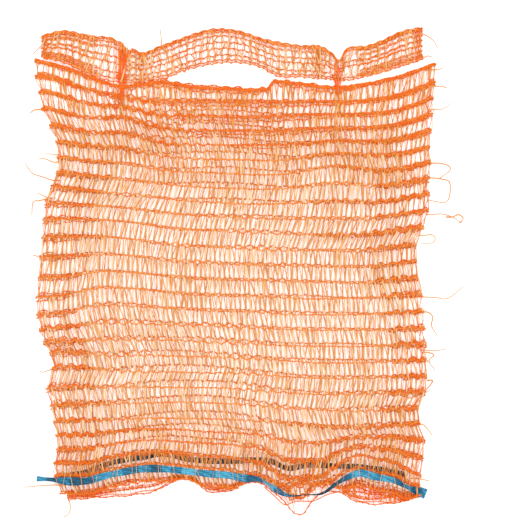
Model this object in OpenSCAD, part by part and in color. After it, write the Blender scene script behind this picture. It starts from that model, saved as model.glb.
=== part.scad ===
// Raschel-knit mesh produce bag with a carry handle and a draw tape.
// The bag lies flat, emptied, with a little air between its two panels.
// X runs across the bag, +Y from the mouth to the carry handle, and Z is up.
// The origin is on the surface it lies on, under the middle of its outline.

/* [Net] */
// Width of the net between its two side seams
net_w = 316; // [280:2:360]
// Distance from one knitted row to the next
row_pitch = 12.2; // [11.5:0.1:13]
// Number of gaps between rows, from the closed end to the mouth
row_gaps = 27; // [22:1:30]
// Width of one knitted row, measured across the row
row_w = 1.8; // [1.2:0.1:2.4]
// Thickness of a knitted row's chain, and of the inlay yarns under it
yarn_t = 0.6; // [0.4:0.1:0.8]
// Height of the front panel's underside above the surface
loft = 8; // [7:0.5:12]

/* [Handle] */
// How far each wave of the handle strip rises and falls about its middle line
handle_wave = 10; // [4:1:12]
// Distance of each tack from the middle of the bag
tack_x = 90; // [80:1:100]

/* [Draw tape] */
// Width of the folded plastic tape
tape_w = 6; // [4:0.5:7]
// Thickness of the folded tape
tape_t = 0.4; // [0.2:0.1:0.5]
// How far the front tape reaches out past each edge of the net
tape_reach = 12; // [8:1:16]
// Distance between the inlay loops that hold the tape to the net
keeper_pitch = 16; // [12:1:30]

/* [Hidden] */

orange = "#f07330";       // rows, seams and stitches
light_orange = "#f9a468"; // inlay yarns, which let light through
tape_blue = "#2c93b9";

half_w = net_w / 2;
half_row = row_w / 2;
ply_t = 2 * yarn_t;       // a row's chain lies on top of its inlay yarns
seam_w = 1.6;             // how far an overlocked seam stands out past the edge
end_seam_w = 1.5;
selvage_w = 1.2;          // extra width of the mouth's edge row
hinge_gap = 0.4;          // clearance that lets the front panel lift
seam_clear = 0.3;         // height of a side seam's foot above the back panel

tack_w = 8;
tack_len = 1.8;
tack_gap = 3.2;           // room between a tack and the strip that turns on it

// The outline is centred on the origin, from the handle's fold to the mouth.
strip_rise = half_row + end_seam_w + tack_len + tack_gap + half_row + row_pitch + handle_wave;
top_reach = strip_rise + handle_wave + row_pitch + half_row;
mouth_reach = row_gaps * row_pitch + half_row + selvage_w;
closed_y = (mouth_reach - top_reach) / 2;
strip_y = closed_y + strip_rise;
hinge_row = 1;            // the front panel lifts along the far side of this row
slope_rows = 4;           // rows over which the front panel rises to its full loft
seam_z = ply_t + 0.4;     // underside of the front panel at the closed end
tape_gap = row_gaps - 1.5;
loop_t = 0.4;             // thickness of an inlay loop over the tape
loop_w = 0.8;
loop_clear = 0.3;         // room beside the tape inside a loop
tape_lift = 0.1;          // room above and below the tape that slides
tape_notch = 1;           // room beside the tape where it leaves the side seam
curve_step = 8;           // length of one straight stretch along a curved edge

hinge_y = row_y(hinge_row) - half_row;
mouth_y = row_y(row_gaps) - half_row - selvage_w;
tape_y = closed_y - tape_gap * row_pitch;
curve_n = ceil(net_w / curve_step);

// Loose yarn ends: [distance along the side from the origin, reach, slope in degrees].
left_ends = [[66, 18.4, -38], [52, 11, 22], [87, 8, -12], [-62, 7, 10], [-104, 9, -25], [-150, 8, 15]];
right_ends = [
    [80, 12, 15], [50, 10, -25], [37, 17, -14], [-29, 18.4, 12],
    [-72, 14, 0], [-98, 8, 35], [-139, 9, -35]
];
end_t = 0.8;

function row_y(k) = closed_y - k * row_pitch;
function ramp(t) = min(1, max(0, t));
// Height of the front panel's underside at a distance along the bag.
function front_z(y) =
    seam_z + (loft - seam_z) * ramp((hinge_y - y) / (slope_rows * row_pitch));
// The handle strip's middle line dips to the tacks and rises between and beyond them.
function strip_mid(x) = strip_y + handle_wave * cos(180 * x / tack_x);
// The closed end is straight past the tacks and then follows the strip up to the corners.
function closed_edge(x) = closed_y
    + (abs(x) > tack_x ? max(0, strip_mid(x) - strip_mid(tack_x + tack_w)) : 0);
function xs() = [for (i = [0:curve_n]) -half_w + net_w * i / curve_n];
function back_from(a) = [for (i = [len(a) - 1:-1:0]) a[i]];
// Outline of a strip between two offsets from the handle's middle line.
function strip(low, high) = concat(
    [for (x = xs()) [x, strip_mid(x) + low]],
    back_from([for (x = xs()) [x, strip_mid(x) + high]])
);
// Outline of a strip between two offsets from the closed end's first row.
function edge(low, high) = concat(
    [for (x = xs()) [x, closed_edge(x) + low]],
    back_from([for (x = xs()) [x, closed_edge(x) + high]])
);

// A solid between z = low and z = high from a plan outline.
module slab(outline, low, high) {
    translate([0, 0, low]) linear_extrude(high - low) polygon(outline);
}

// A profile drawn in Y and Z, stretched along X from start to end.
module along_x(profile, start, end) {
    translate([start, 0, 0]) rotate([90, 0, 90]) linear_extrude(end - start) polygon(profile);
}

module box(low, high) {
    translate(low) cube(high - low);
}

// One straight knitted row across the net.
module row(k, z) {
    box([-half_w, row_y(k) - half_row, z], [half_w, row_y(k) + half_row, z + yarn_t]);
}

// One inlay loop that crosses over the draw tape, standing on the net at height z.
module tape_loop(x, z, clear) {
    reach = tape_w / 2 + loop_clear;
    inside = tape_t + clear;
    translate([x - loop_w / 2, tape_y, z]) {
        for (side = [-1, 1])
            translate([0, side * (reach + loop_t / 2) - loop_t / 2, 0])
                cube([loop_w, loop_t, inside + loop_t]);
        translate([0, -reach, inside]) cube([loop_w, 2 * reach, loop_t]);
    }
}

module tape_loops(z, clear) {
    n = floor((half_w - keeper_pitch / 2) / keeper_pitch);
    for (i = [-n:n]) tape_loop(i * keeper_pitch, z, clear);
}

// ---- Back panel, which lies on the surface ----

module back_web() {
    color(light_orange)
        box([-half_w, mouth_y + selvage_w, yarn_t], [half_w, hinge_y, ply_t]);
}

module back_rows() {
    color(orange) for (k = [hinge_row + 1:row_gaps - 1]) row(k, 0);
}

module back_mouth_selvage() {
    color(orange) {
        box([-half_w, row_y(row_gaps) - half_row, 0], [half_w, row_y(row_gaps) + half_row, yarn_t]);
        box([-half_w, mouth_y, 0], [half_w, mouth_y + selvage_w, ply_t]);
    }
}

module back_draw_tape() {
    color(tape_blue)
        box([-half_w, tape_y - tape_w / 2, ply_t], [half_w, tape_y + tape_w / 2, ply_t + tape_t]);
}

module back_tape_loops() {
    color(orange) tape_loops(ply_t, 0);
}

// ---- Closed end, where the two panels are sewn together ----

function closed_end_outline() = concat(
    [[-half_w, hinge_y], [half_w, hinge_y]],
    back_from([for (x = xs()) [x, closed_edge(x) + half_row]])
);

module closed_end_back_web() {
    color(light_orange) slab(closed_end_outline(), yarn_t, ply_t);
}

module closed_end_front_web() {
    color(light_orange) slab(closed_end_outline(), seam_z, seam_z + yarn_t);
}

module closed_end_rows() {
    color(orange) for (z = [0, seam_z + yarn_t]) {
        row(hinge_row, z);
        slab(edge(-half_row, half_row), z, z + yarn_t);
    }
}

module closed_end_seam() {
    color(orange) slab(edge(half_row, half_row + end_seam_w), 0, seam_z + ply_t);
}

module corner_seam(side) {
    x = side > 0 ? half_w : -half_w - seam_w;
    color(orange)
        box([x, hinge_y, 0], [x + seam_w, closed_edge(half_w) + half_row, seam_z + ply_t]);
}

module tack(side) {
    foot = closed_y + half_row + end_seam_w;
    color(orange)
        box([side * tack_x - tack_w / 2, foot, 0],
            [side * tack_x + tack_w / 2, foot + tack_len, seam_z + ply_t]);
}

// ---- Front panel, which lifts to open the mouth ----

module front_web() {
    start = hinge_y - hinge_gap;
    full = hinge_y - slope_rows * row_pitch;
    end = mouth_y + selvage_w;
    color(light_orange)
        along_x([
            [start, front_z(start)], [full, loft], [end, loft],
            [end, loft + yarn_t], [full, loft + yarn_t], [start, front_z(start) + yarn_t]
        ], -half_w, half_w);
}

module front_rows() {
    color(orange) for (k = [hinge_row + 1:row_gaps - 1]) {
        a = row_y(k) + half_row;
        b = row_y(k) - half_row;
        full = hinge_y - slope_rows * row_pitch;
        low = a > full && b < full ? [[a, front_z(a)], [full, loft], [b, loft]]
            : [[a, front_z(a)], [b, front_z(b)]];
        along_x(concat([for (p = low) p + [0, yarn_t]], back_from([for (p = low) p + [0, ply_t]])),
            -half_w, half_w);
    }
}

module front_mouth_selvage() {
    color(orange) {
        translate([0, 0, loft + yarn_t]) row(row_gaps, 0);
        box([-half_w, mouth_y, loft], [half_w, mouth_y + selvage_w, loft + ply_t]);
    }
}

module front_tape_loops() {
    color(orange) tape_loops(loft + yarn_t, 2 * tape_lift);
}

// The overlocked side edge stands from just above the back panel to the front one,
// with a notch where the draw tape comes out.
module side_seam(side) {
    x = side > 0 ? half_w : -half_w - seam_w;
    foot = ply_t + seam_clear;
    start = hinge_y - hinge_gap;
    full = hinge_y - slope_rows * row_pitch;
    notch = tape_w / 2 + tape_notch;
    color(orange)
        along_x([
            [start, foot], [start, front_z(start) + ply_t], [full, loft + ply_t],
            [tape_y + notch, loft + ply_t], [tape_y + notch, loft],
            [tape_y - notch, loft], [tape_y - notch, loft + ply_t],
            [mouth_y, loft + ply_t], [mouth_y, foot]
        ], x, x + seam_w);
}

// Yarn ends that have come out of the side seam.
module loose_ends(side, ends) {
    mid_z = loft / 2 + 1;
    color(light_orange)
        for (e = ends)
            translate([side * (half_w + seam_w), e[0], mid_z])
                rotate([0, 0, side > 0 ? e[2] : 180 + e[2]])
                    translate([end_t / 2 * abs(tan(e[2])), -end_t / 2, 0])
                        cube([e[1] / cos(e[2]) - end_t * abs(tan(e[2])), end_t, end_t]);
}

// ---- Draw tape, which slides through its loops ----

module front_draw_tape() {
    z = loft + yarn_t + tape_lift;
    end = half_w + tape_reach;
    color(tape_blue)
        box([-end, tape_y - tape_w / 2, z], [end, tape_y + tape_w / 2, z + tape_t]);
}

// ---- Handle strip, which lifts on its two tacks ----

module handle_front_web() {
    color(light_orange)
        slab(strip(-row_pitch - half_row, row_pitch - half_row), ply_t, ply_t + yarn_t);
}

module handle_front_rows() {
    color(orange) for (o = [-row_pitch, 0])
        slab(strip(o - half_row, o + half_row), ply_t + yarn_t, 2 * ply_t);
}

module handle_back_web() {
    color(light_orange)
        slab(strip(-row_pitch - half_row, row_pitch - half_row), yarn_t, ply_t);
}

module handle_back_rows() {
    color(orange) for (o = [-row_pitch, -row_pitch / 2, row_pitch / 2])
        slab(strip(o - half_row, o + half_row), 0, yarn_t);
}

module handle_fold_edge() {
    color(orange) slab(strip(row_pitch - half_row, row_pitch + half_row), 0, 2 * ply_t);
}

module end_stitch(side) {
    x = side > 0 ? half_w : -half_w - seam_w;
    y = strip_mid(half_w);
    color(orange)
        box([x, y - row_pitch - half_row, 0], [x + seam_w, y + row_pitch + half_row, 2 * ply_t]);
}

module pleat_stitch(side) {
    y = strip_mid(tack_x);
    color(orange)
        box([side * tack_x - half_row, y - row_pitch + half_row, 2 * ply_t],
            [side * tack_x + half_row, y + row_pitch, 2 * ply_t + yarn_t]);
}

back_web();
back_rows();
back_mouth_selvage();
back_draw_tape();
back_tape_loops();
closed_end_back_web();
closed_end_front_web();
closed_end_rows();
closed_end_seam();
corner_seam(-1);  // left_corner_seam
corner_seam(1);  // right_corner_seam
tack(-1);  // left_tack
tack(1);  // right_tack
front_web();
front_rows();
front_mouth_selvage();
front_tape_loops();
side_seam(-1);  // left_side_seam
side_seam(1);  // right_side_seam
loose_ends(-1, left_ends);  // left_loose_ends
loose_ends(1, right_ends);  // right_loose_ends
front_draw_tape();
handle_front_web();
handle_front_rows();
handle_back_web();
handle_back_rows();
handle_fold_edge();
end_stitch(-1);  // handle_left_end_stitch
end_stitch(1);  // handle_right_end_stitch
pleat_stitch(-1);  // left_pleat_stitch
pleat_stitch(1);  // right_pleat_stitch
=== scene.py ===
"""Looks for a Raschel-knit mesh produce bag: its yarns, tapes, seams and stage."""

import math
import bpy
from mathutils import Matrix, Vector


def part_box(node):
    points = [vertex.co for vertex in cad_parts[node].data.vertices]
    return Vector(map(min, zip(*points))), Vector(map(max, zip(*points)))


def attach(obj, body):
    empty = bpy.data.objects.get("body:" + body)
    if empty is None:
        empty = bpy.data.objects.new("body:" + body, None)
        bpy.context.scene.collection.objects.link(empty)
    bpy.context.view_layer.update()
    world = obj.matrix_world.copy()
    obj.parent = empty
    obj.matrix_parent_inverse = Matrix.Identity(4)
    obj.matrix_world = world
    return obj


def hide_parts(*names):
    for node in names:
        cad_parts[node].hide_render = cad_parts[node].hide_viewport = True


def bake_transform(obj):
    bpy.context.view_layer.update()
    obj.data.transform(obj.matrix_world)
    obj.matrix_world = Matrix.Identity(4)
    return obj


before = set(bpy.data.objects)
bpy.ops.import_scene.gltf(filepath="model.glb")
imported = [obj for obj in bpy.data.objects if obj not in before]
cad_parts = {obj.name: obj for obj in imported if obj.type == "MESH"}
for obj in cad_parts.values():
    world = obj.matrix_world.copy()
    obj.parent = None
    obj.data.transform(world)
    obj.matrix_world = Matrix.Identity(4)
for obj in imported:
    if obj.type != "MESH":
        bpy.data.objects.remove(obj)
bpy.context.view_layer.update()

from types import SimpleNamespace

import bpy
import numpy as np

bl_info = {
    "name": "Mesh Produce Bag",
    "version": (1, 0, 0),
    "blender": (4, 5, 0),
    "location": "View3D > Sidebar > Produce Bag",
    "description": "Knits a flat, empty net bag with a carry handle and draw tapes",
    "category": "Add Mesh",
}

MM = 0.001
UP = np.array((0.0, 0.0, 1.0))
SIDES = 4                # faces round each yarn


def mm(node):
    """Lowest and highest corner of a CAD node in millimetres."""
    low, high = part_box(node)
    return np.array(low) / MM, np.array(high) / MM


# Sizes and places in millimetres, unless a comment says otherwise.
HALF_WIDTH = mm("front_web")[1][0]
HINGE_Y = mm("front_web")[1][1]
PANEL_TOP = mm("front_rows")[1][2]
LAST_ROW = 27            # knitted rows are counted from the closed end to the mouth
TAPE_ROW = 25            # the draw tapes lie between this row and the next
FLAT_YARN = 0.3          # thickness of a flat inlay yarn
LEG_SHARES = (0.0, 0.3, 0.7, 1.0)    # where a leg of inlay yarn has its points
LEG = len(LEG_SHARES)
BACK_REST = 1.3          # height of the back panel's yarns
SIDE_TAPE = (135, 150)   # out from the middle, the tape comes down between these places
TAPE_HEIGHTS = (9.6, 3.4)
LOOP_HEIGHTS = (10.8, 4.6)

# Where some of the rows lie, as (x, y) points in millimetres. The others lie between them.
CLOSED_EDGE = (
    (-164, 166), (-136, 158), (-112, 149), (-94, 143.5), (-75, 145.5), (-58, 147), (-38, 143.5),
    (-4, 141.5), (22, 141.2), (28, 142.5), (31, 147.3), (37, 147.3), (51, 146), (86, 142.5),
    (111, 146.5), (136, 152.5), (163, 162),
)
SECOND_ROW = (
    (-164, 153), (-150, 151), (-135, 146), (-93, 134), (-60, 131.5), (0, 130.5), (60, 130),
    (86, 129.5), (111, 132), (135, 137), (150, 142), (163, 148),
)
UPPER_ROW = (
    (-160, 35), (-130, 35), (-86, 33), (-45, 27.5), (0, 24.5), (53, 22.5), (86, 22.5),
    (111, 23.5), (136, 26.5), (160, 30),
)
MIDDLE_ROW = ((-160, -64), (-110, -63), (-50, -64), (0, -65.5), (60, -68.5), (110, -68.5), (160, -67))
LOWER_ROW = ((-155, -130), (-60, -127), (0, -128), (86, -134), (150, -132))
FRONT_TAPE = (
    (-162, -177), (-138, -178), (-119, -177.5), (-105, -173.5), (-93, -171), (-75, -168), (-51, -168.5),
    (-38, -170), (-21, -172), (-6, -173), (8, -175.5), (21, -177), (31, -183), (40, -188.5),
    (58, -189), (73, -187), (81, -181), (91, -175), (101, -171.5), (115, -174.5), (131, -178),
    (142, -184), (156, -189.5),
)
BACK_TAPE = (
    (-156, -176), (-134, -174.5), (-119, -171), (-105, -165.5), (-91, -162), (-75, -159.5), (-62, -157),
    (-52, -158), (-40, -161), (-23, -162.5), (-6, -163), (18, -162), (30, -163), (42, -168.5),
    (59, -166), (84, -167), (102, -167.5), (130, -172), (150, -176),
)
MOUTH_EDGE = (
    (-138, -195), (-116, -193), (-82, -190.5), (-64, -187), (-52, -180.5), (-38, -178), (-21, -188),
    (-4, -187), (15, -180), (26, -184), (39, -195), (50, -206), (56, -206.5), (62, -197), (84, -188),
    (97, -195), (109, -198), (122, -198), (137, -196), (150, -192),
)
# Where the net's two sides lie, as (y, x) points in millimetres.
LEFT_SIDE = (
    (-195, -139), (-170, -147), (-138, -146), (-120, -150), (-104, -154), (-88, -149), (-72, -154),
    (-50, -161), (-20, -162), (8, -158), (28, -157), (45, -152), (60, -146), (76, -145),
    (92, -150), (108, -158), (125, -162), (158, -164),
)
RIGHT_SIDE = (
    (-192, 153), (-165, 151), (-138, 155), (-121, 149), (-104, 155), (-72, 156), (-40, 154), (-6, 149),
    (8, 147), (26, 155), (45, 159), (60, 159), (92, 160), (125, 163), (158, 165),
)
# The handle strip's fold and its free edge.
STRIP_FOLD = (
    (-158, 185), (-142, 189), (-119, 185), (-97, 181), (-91, 176.5), (-88, 169), (-84, 174.5),
    (-79, 171.5), (-61, 176.5), (-47, 181.5), (-32, 187), (-18, 190.4), (0, 189.5), (25, 182),
    (53, 177), (73, 175), (79, 171), (83, 166), (87, 166), (90, 173), (95, 175.5), (107, 176.5),
    (119, 180.5), (135, 188), (153, 192),
)
STRIP_FREE_EDGE = (
    (-158, 167.5), (-142, 164), (-119, 154), (-98, 147.5), (-86, 147), (-70, 149), (-57, 150.5),
    (-41, 157), (-25, 161), (-3, 163.5), (22, 159), (33, 153), (55, 151.5), (78, 149.5), (86, 148.5),
    (111, 153), (135, 160), (155, 166.5),
)
TACKS = (-92, 84)


def linear(code):
    """An sRGB hex colour as linear RGBA."""
    parts = [int(code[i:i + 2], 16) / 255 for i in (1, 3, 5)]
    return tuple(c / 12.92 if c <= 0.04045 else ((c + 0.055) / 1.055) ** 2.4 for c in parts) + (1.0,)


def bump(value, centre, width):
    return np.exp(-(((value - centre) / width) ** 2))


def ease(share):
    share = np.clip(share, 0, 1)
    return share * share * (3 - 2 * share)


def through(points, at):
    """A smooth line through listed points, read at the values of at."""
    px, py = np.array(points, float).T
    at = np.asarray(at, float)
    slope = np.gradient(py, px)
    i = np.clip(np.searchsorted(px, at) - 1, 0, len(px) - 2)
    h = px[i + 1] - px[i]
    t = np.clip((at - px[i]) / h, 0, 1)
    keep = (1 + 2 * t) * (1 - t) ** 2 * py[i] + t * t * (3 - 2 * t) * py[i + 1]
    return keep + h * (t * (1 - t) ** 2 * slope[i] - t * t * (1 - t) * slope[i + 1])


def ripple(x, y, seed):
    """A smooth, repeatable wobble between about -1 and 1."""
    return (
        np.sin(x / 13.7 + y / 29.0 + seed * 1.7)
        + np.sin(x / 31.1 - y / 17.3 + seed * 2.9)
        + np.sin(x / 7.3 + y / 11.9 + seed * 4.1) * 0.6
    ) / 2.6


# ---- What a user can change ----

def length(name, description, millimetres):
    """A length for the sidebar, kept in metres."""
    return bpy.props.FloatProperty(
        name=name, description=description, default=millimetres * MM, min=0.1 * MM, max=20 * MM,
        precision=5, subtype="DISTANCE", unit="LENGTH")


def colour(name, description, code):
    """A colour for the sidebar, given as an sRGB hex code."""
    return bpy.props.FloatVectorProperty(
        name=name, description=description, default=linear(code), size=4, min=0, max=1, subtype="COLOR")


class BagSizes(bpy.types.PropertyGroup):
    """Sizes of the yarns and of the tapes."""

    stitch: length("Stitch", "Length of one chain stitch", 4.0)
    chain: length("Chain yarn", "Width of the yarn in the knitted rows", 1.04)
    loop: length("Loop", "Half the width of a chain stitch", 0.22)
    inlay: length("Inlay yarn", "Width of the flat yarn between the rows", 0.58)
    tape: length("Draw tape", "Width of the folded draw tape", 5.6)


class BagColours(bpy.types.PropertyGroup):
    """Colours of the yarns, the tapes and the table."""

    chain_deep: colour("Chain yarn, deep", "Where the knitted rows are tight", "#E95406")
    chain_middle: colour("Chain yarn, middle", "Most of the knitted rows", "#E47018")
    chain_pale: colour("Chain yarn, pale", "Where light passes through the yarn", "#EBA24E")
    inlay_deep: colour("Inlay yarn, deep", "Where the flat yarn is rolled up", "#D8802E")
    inlay_middle: colour("Inlay yarn, middle", "Where it is half open", "#E3A25C")
    inlay_pale: colour("Inlay yarn, pale", "Where it lies open and thin", "#F0D4B2")
    # The draw tape's deep colour is painted shade in its folds, and its bright colour is a painted
    # highlight on its ridges.
    tape_painted_shade: colour("Draw tape, deep", "Inside its folds", "#063A50")
    tape_middle: colour("Draw tape, middle", "Most of the tape", "#0C7298")
    tape_painted_highlight: colour("Draw tape, bright", "Along its ridges", "#58BCDA")
    table: colour("Table", "The table top under the bag", "#EDEDED")


def in_millimetres(context):
    """The sidebar's sizes in millimetres."""
    sizes = context.scene.bag_sizes
    return SimpleNamespace(**{key: getattr(sizes, key) / MM for key in BagSizes.__annotations__})


# ---- How the net lies ----

def row_line(k, x):
    """The distance along the bag of row k of the front panel, at x."""
    tape = through(FRONT_TAPE, x)
    gather = 8.5 * max(0, min(k / 6, (10 - k) / 4)) * bump(x, TACKS[1], 32)
    gather = gather + 7.0 * max(0, min(k / 3, (8 - k) / 5)) * bump(x, TACKS[0], 22)
    lines = (
        (0, through(CLOSED_EDGE, x)),
        (1, through(SECOND_ROW, x)),
        (10, through(UPPER_ROW, x)),
        (17, through(MIDDLE_ROW, x)),
        (22, through(LOWER_ROW, x)),
        (TAPE_ROW, tape + 14.0),
        (TAPE_ROW + 1, tape + 3.6 + 6 * bump(x, 57, 22)),
        (LAST_ROW, np.maximum(tape - 10.5, through(MOUTH_EDGE, x) + 1.5) + 9 * bump(x, 57, 26)),
    )
    for (low, a), (high, b) in zip(lines, lines[1:]):
        if k <= high:
            share = (k - low) / (high - low)
            return a * (1 - share) + b * share + gather
    return lines[-1][1]


def back_shift(k, x, y):
    """How far a row of the back panel lies above the same row of the front one."""
    upper = 5.8 * bump(x, -6, 74) * bump(y, 98, 56) * min(1, k / 2)
    lower = 5.4 * bump(x, -12, 66) * bump(y, -100, 52) * (k < TAPE_ROW)
    return upper + lower + 1.5 * np.sin(x / 27 + y / 41) * min(1, k / 3) * (k < TAPE_ROW)


def across(s, y):
    """The x at which a stitch, s along its row, lies."""
    left = through(LEFT_SIDE, y)
    right = through(RIGHT_SIDE, y)
    x = left + (right - left) * (s + HALF_WIDTH) / (2 * HALF_WIDTH)
    for tack in TACKS:
        near = bump(x, tack, 26) * ease((y - 70) / 45)
        x = x - 3.5 * near * np.tanh((x - tack) / 7)
    return x


def front_height(x, y):
    """Height of the front panel: low at its seams and its closed end, lofted between."""
    rise = ease((HINGE_Y + 12 - y) / 75) * (1 - np.clip(np.abs(x) / 160, 0, 1) ** 5)
    return 2.4 + (PANEL_TOP - 3.2) * rise + 0.25 * ripple(x, y, 3)


def back_height(x, y):
    return BACK_REST + 0.15 * ripple(x, y, 5)


def lay_row(k, s, back=False):
    """Points of row k at the positions s along it."""
    nominal = row_line(k, np.zeros(1))[0]
    x = across(s, nominal) + 0.5 * math.sin(k * 2.3) * s / HALF_WIDTH
    y = row_line(k, x)
    strength = 0.25 + 0.75 * ease(0.5 + 0.9 * ripple(x * 0.6, y * 0.6, 9))
    wave = 1.15 * strength * np.sin(2 * np.pi * s / 9.6 + (math.pi if back else 0) + 0.6 * math.sin(k))
    wave = wave + 0.6 * ripple(x * 0.8, 37 * k + (500 if back else 0), 1)
    if back:
        y = y + back_shift(k, x, y)
    near_left = ease((-s - 100) / 45)
    y = y - near_left * (7.0 * bump(y, -26, 36) - 5.5 * bump(y, -84, 15))
    z = back_height(x, y) if back else front_height(x, y)
    return np.stack((x, y + wave, z), 1)


# ---- Yarns ----

class Yarns:
    """Gathers swept yarns, with a shade for each, into one mesh."""

    def __init__(self, seed):
        self.random = np.random.default_rng(seed)
        self.points = []
        self.quads = []
        self.shades = []
        self.count = 0

    def add(self, path, width, thick, shade=0.5, turn=0.0):
        """One yarn along a path in millimetres, as a closed flattened tube."""
        path = np.asarray(path, float)
        n = len(path)
        along = np.gradient(path, axis=0)
        along /= np.maximum(np.linalg.norm(along, axis=1, keepdims=True), 1e-9)
        side = np.cross(along, UP)
        length = np.linalg.norm(side, axis=1, keepdims=True)
        side = np.where(length > 1e-3, side / np.maximum(length, 1e-3), (1.0, 0.0, 0.0))
        lift = np.cross(side, along)
        turned = np.broadcast_to(np.asarray(turn, float), (n,))[:, None]
        wide = np.cos(turned) * side + np.sin(turned) * lift
        flat = np.cos(turned) * lift - np.sin(turned) * side
        angle = (np.arange(SIDES) + 0.5) * 2 * np.pi / SIDES
        w = np.broadcast_to(np.asarray(width, float), (n,))[:, None, None] / math.sqrt(2)
        t = np.broadcast_to(np.asarray(thick, float), (n,))[:, None, None] / math.sqrt(2)
        ring = (
            path[:, None]
            + w * np.cos(angle)[None, :, None] * wide[:, None]
            + t * np.sin(angle)[None, :, None] * flat[:, None]
        )
        i = np.arange(n - 1)[:, None] * SIDES
        j = np.arange(SIDES)[None]
        nxt = (j + 1) % SIDES
        quads = np.stack((i + j, i + j + SIDES, i + nxt + SIDES, i + nxt), 2).reshape(-1, 4)
        last = (n - 1) * SIDES
        ends = np.array(((0, 1, 2, 3), (last + 3, last + 2, last + 1, last)))
        self.points.append(ring.reshape(-1, 3))
        self.quads.append(np.concatenate((quads, ends)) + self.count)
        self.shades.append(np.repeat(np.broadcast_to(np.asarray(shade, float), (n,)), SIDES))
        self.count += n * SIDES

    def chain(self, line, stitch, loop, width, shade=0.5, rings=10):
        """A chain of stitches: one yarn that loops over and over along a line."""
        step = np.linalg.norm(np.diff(line, axis=0), axis=1)
        place = np.concatenate(((0,), np.cumsum(step)))
        stitches = max(2, int(round(place[-1] / stitch)))
        phase = np.linspace(0, 2 * np.pi * stitches, stitches * rings + 1)
        at = place[-1] * phase / phase[-1]
        centre = np.stack([np.interp(at, place, line[:, a]) for a in range(3)], 1)
        along = np.gradient(centre, axis=0)
        along /= np.maximum(np.linalg.norm(along, axis=1, keepdims=True), 1e-9)
        side = np.cross(UP, along)
        start = self.random.uniform(0, 6)
        slack = 1 + 0.2 * np.sin(phase / 7.7 + start) + 0.12 * np.sin(phase / 3.1 + 2 * start)
        path = (
            centre
            - along * (0.2 * stitch * np.sin(phase))[:, None]
            - side * (loop * slack * np.cos(phase))[:, None]
            + UP * (0.45 * width * np.sin(phase))[:, None]
        )
        shades = shade + 0.1 * np.sin(phase / 9.1) + 0.12 * (slack - 1)
        knots = width * (1 + 0.26 * np.cos(phase + 0.8))
        self.add(path, knots, knots * 0.8, shades)

    def inlay(self, upper, lower, width, shade=0.5, slack=0.5):
        """A yarn laid up and down between two rows: its path, widths, shades and twist."""
        n = min(len(upper), len(lower))
        step = np.abs(np.diff(upper[:n, 0])).mean() if n > 1 else 2.0
        down = (np.arange(n) % 2 == 0)[:, None]
        first = np.where(down, upper[:n], lower[:n]).astype(float)
        last = np.where(down, lower[:n], upper[:n]).astype(float)
        turn = np.where(down[:, 0], 1, -1)
        lean = 0.4 * ripple(first[:, 0] * 0.7, first[:, 1] * 0.7, 6) + self.random.normal(0, 0.3, n)
        lean *= turn * slack
        bunch = self.random.normal(0, 0.16, n) + 0.24 * turn
        vee = 0.34 + self.random.normal(0, 0.16, n)
        first[:, 0] += step * (bunch + lean - vee)
        last[:, 0] += step * (bunch - lean + vee)
        share = np.array(LEG_SHARES)
        legs = first[:, None] + (last - first)[:, None] * share[None, :, None]
        arch = np.sin(np.pi * share)[None]
        legs[:, :, 0] += self.random.normal(0, 0.16 * step, n)[:, None] * arch
        legs[:, :, 2] += 0.25 * arch
        open_film = self.random.random(n) ** 2
        twist = self.random.normal(0, 0.5, n)
        widths = width * (0.42 + 2.6 * open_film)
        shades = shade + 0.65 * open_film - 0.19 + self.random.normal(0, 0.07, n)
        each = [np.repeat(values, LEG) for values in (widths, shades, twist)]
        return legs.reshape(-1, 3), *each

    def thread(self, points, width, shade=0.5, steps=8):
        """A loose thread through a few given points, thinning to its end."""
        points = np.array(points, float)
        at = np.arange(len(points))
        fine = np.linspace(0, len(points) - 1, (len(points) - 1) * steps + 1)
        path = np.stack([through(np.stack((at, points[:, a]), 1), fine) for a in range(3)], 1)
        taper = 1 - 0.45 * fine / fine[-1]
        self.add(path, width * taper, width * taper * 0.7, shade)

    def piece(self, name, material):
        """The finished mesh object."""
        if not self.points:
            raise RuntimeError("no yarn was laid for " + name)
        points = np.concatenate(self.points) * MM
        quads = np.concatenate(self.quads)
        mesh = bpy.data.meshes.new(name)
        mesh.vertices.add(len(points))
        mesh.vertices.foreach_set("co", points.astype(np.float32).ravel())
        mesh.loops.add(quads.size)
        mesh.loops.foreach_set("vertex_index", quads.astype(np.int32).ravel())
        mesh.polygons.add(len(quads))
        mesh.polygons.foreach_set("loop_start", np.arange(0, quads.size, 4, dtype=np.int32))
        mesh.polygons.foreach_set("use_smooth", np.ones(len(quads), bool))
        shade = mesh.attributes.new("shade", "FLOAT", "POINT")
        shade.data.foreach_set("value", np.clip(np.concatenate(self.shades), 0, 1).astype(np.float32))
        mesh.update(calc_edges=True)
        mesh.validate()
        made = bpy.data.objects.new(name, mesh)
        bpy.context.scene.collection.objects.link(made)
        mesh.materials.append(material)
        return made


def split(path, keys):
    """Cuts a path where the key of its steps changes: (key, first, last) for each run."""
    cuts = [0] + [i for i in range(1, len(keys)) if keys[i] != keys[i - 1]] + [len(keys)]
    for first, last in zip(cuts, cuts[1:]):
        if last - first >= 2:
            yield keys[first], first, min(last + 1, len(path))


def region(points):
    """Which part of the back panel each point belongs to."""
    side = np.where(points[:, 0] < 0, "left", "right")
    return np.where(points[:, 1] > HINGE_Y, "closed", side)


# ---- Materials ----

def node(tree, kind, settings=(), values=(), links=(), stops=()):
    """Adds one shader node with its settings, socket values, incoming links and colour stops."""
    made = tree.nodes.new(kind)
    for key, value in dict(settings).items():
        setattr(made, key, value)
    for key, value in dict(values).items():
        made.inputs[key].default_value = value
    for key, source in dict(links).items():
        tree.links.new(source, made.inputs[key])
    for i, (place, shown) in enumerate(stops):
        elements = made.color_ramp.elements
        element = elements[i] if i < 2 else elements.new(place)
        element.position = place
        element.color = shown
    return made


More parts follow.
